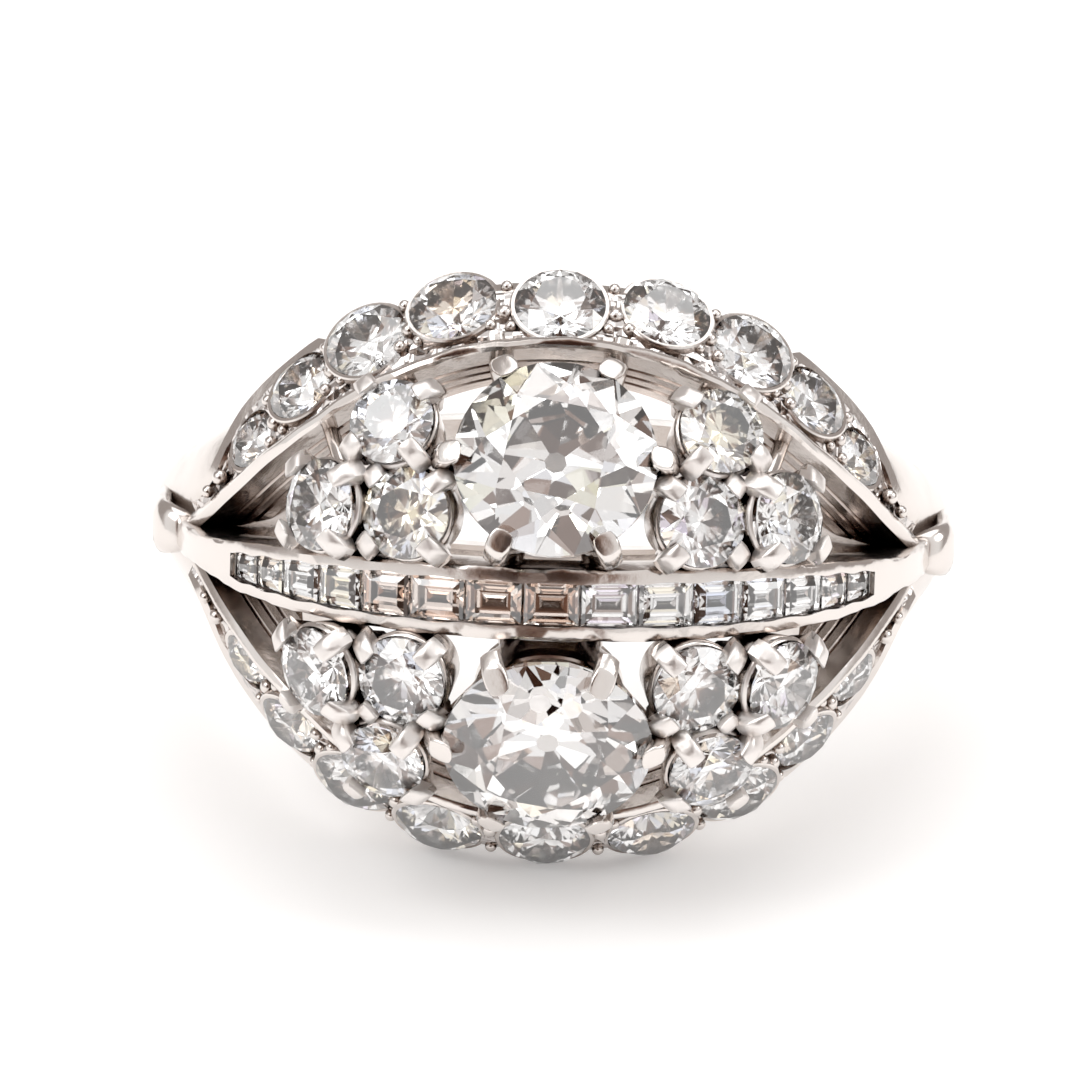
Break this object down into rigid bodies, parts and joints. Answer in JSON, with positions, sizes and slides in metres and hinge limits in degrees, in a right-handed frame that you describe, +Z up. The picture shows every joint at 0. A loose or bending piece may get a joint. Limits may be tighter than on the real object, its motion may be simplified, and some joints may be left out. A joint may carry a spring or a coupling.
{
  "type": "diamond dome ring",
  "caption": "Domed cocktail ring: two large round stones across a curved channel of step-cut stones, clusters at the corners and scalloped stone borders, resting on its side.",
  "frame": {"origin": "centre of the ring's bounding box, on the surface that it rests on", "axes": "+X across the head of the ring; the head faces -Y and tips up by about 19 degrees; +Z up. The finger hole's axis leans 18.6 degrees from +Z towards +Y."},
  "size_m": [0.0208, 0.0253, 0.0146],
  "materials": {
    "metal": "polished white precious metal",
    "diamond": "faceted clear stone",
    "old_cut_diamond": "faceted clear stone with a faint warm tint"
  },
  "bodies": {
    "root": {"ring_mount": "metal", "channel_stones": "diamond", "main_stone_upper": "old_cut_diamond", "main_stone_lower": "old_cut_diamond", "corner_stone_upper_left_near": "diamond", "corner_stone_upper_left_side": "diamond", "corner_stone_upper_left_far": "diamond", "corner_stone_upper_right_near": "diamond", "corner_stone_upper_right_side": "diamond", "corner_stone_upper_right_far": "diamond", "corner_stone_lower_left_near": "diamond", "corner_stone_lower_left_side": "diamond", "corner_stone_lower_left_far": "diamond", "corner_stone_lower_right_near": "diamond", "corner_stone_lower_right_side": "diamond", "corner_stone_lower_right_far": "diamond", "border_stone_upper_1": "diamond", "border_stone_upper_2": "diamond", "border_stone_upper_3": "diamond", "border_stone_upper_4": "diamond", "border_stone_upper_5": "diamond", "border_stone_upper_6": "diamond", "border_stone_upper_7": "diamond", "border_stone_upper_8": "diamond", "border_stone_upper_9": "diamond", "border_stone_lower_1": "diamond", "border_stone_lower_2": "diamond", "border_stone_lower_3": "diamond", "border_stone_lower_4": "diamond", "border_stone_lower_5": "diamond", "border_stone_lower_6": "diamond", "border_stone_lower_7": "diamond", "border_stone_lower_8": "diamond", "border_stone_lower_9": "diamond"}
  },
  "joints": []
}
